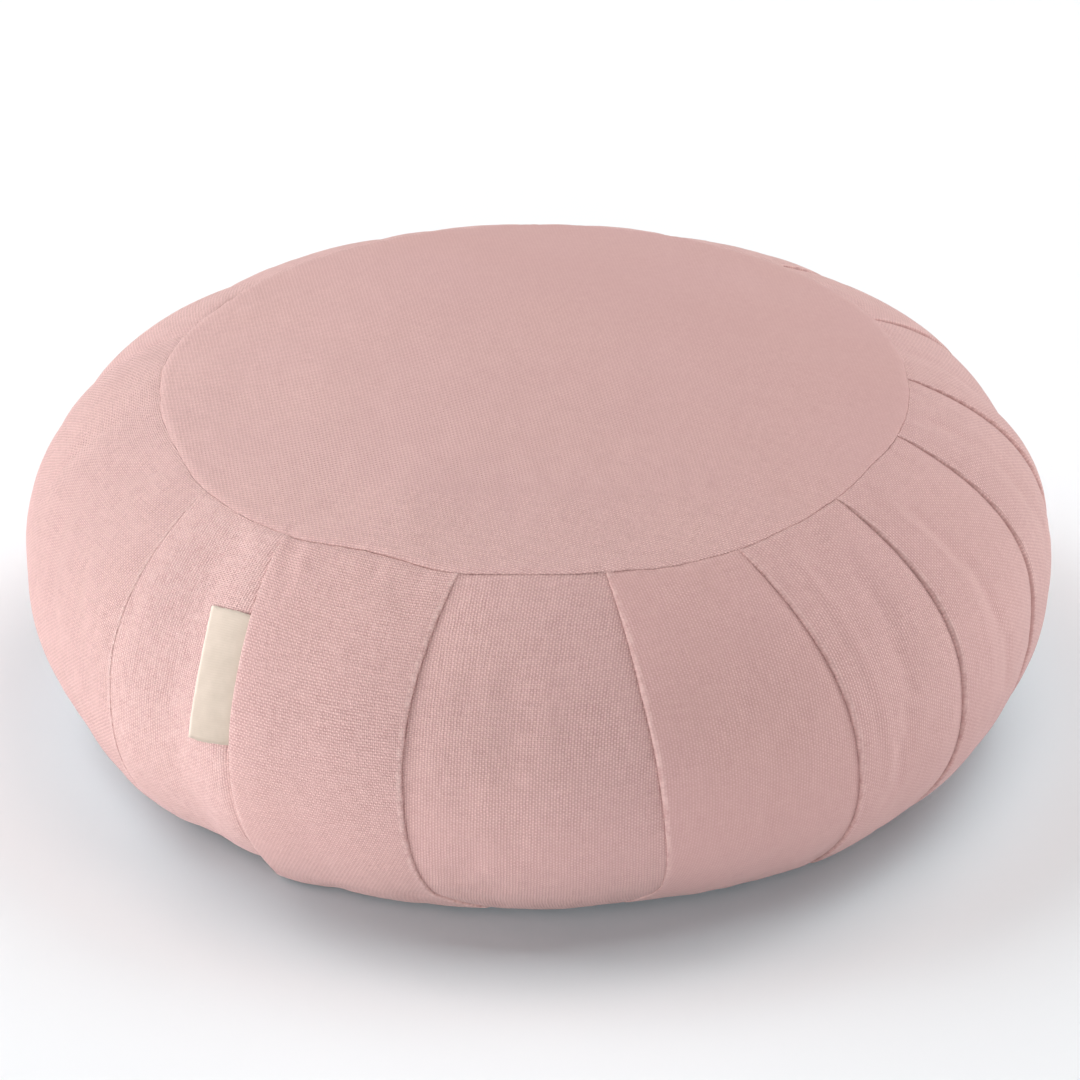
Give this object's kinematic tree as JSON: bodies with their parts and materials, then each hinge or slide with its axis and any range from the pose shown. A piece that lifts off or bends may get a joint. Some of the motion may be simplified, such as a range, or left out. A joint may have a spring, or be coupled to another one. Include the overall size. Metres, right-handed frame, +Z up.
{
  "type": "meditation cushion",
  "caption": "Round, firmly filled zafu for seated meditation: domed top panel, pleated canvas side band drawn in to both seams, flat base and a bare ribbon tag in one fold.",
  "frame": {"origin": "the middle of the flat face that the cushion rests on", "axes": "+Z up through the crown; -Y faces the side that the picture shows in front; +X to that viewer's right"},
  "size_m": [0.3989, 0.3955, 0.1462],
  "materials": {
    "rose_canvas_band": "matte plain-weave cotton canvas, dusty rose",
    "rose_canvas_top": "matte plain-weave cotton canvas, dusty rose",
    "rose_canvas_base": "matte plain-weave cotton canvas, dusty rose",
    "cream_ribbon": "smooth woven cotton ribbon, cream, unprinted"
  },
  "bodies": {
    "root": {"side_band": "rose_canvas_band", "top_panel": "rose_canvas_top", "bottom_panel": "rose_canvas_base", "tag": "cream_ribbon"}
  },
  "joints": []
}
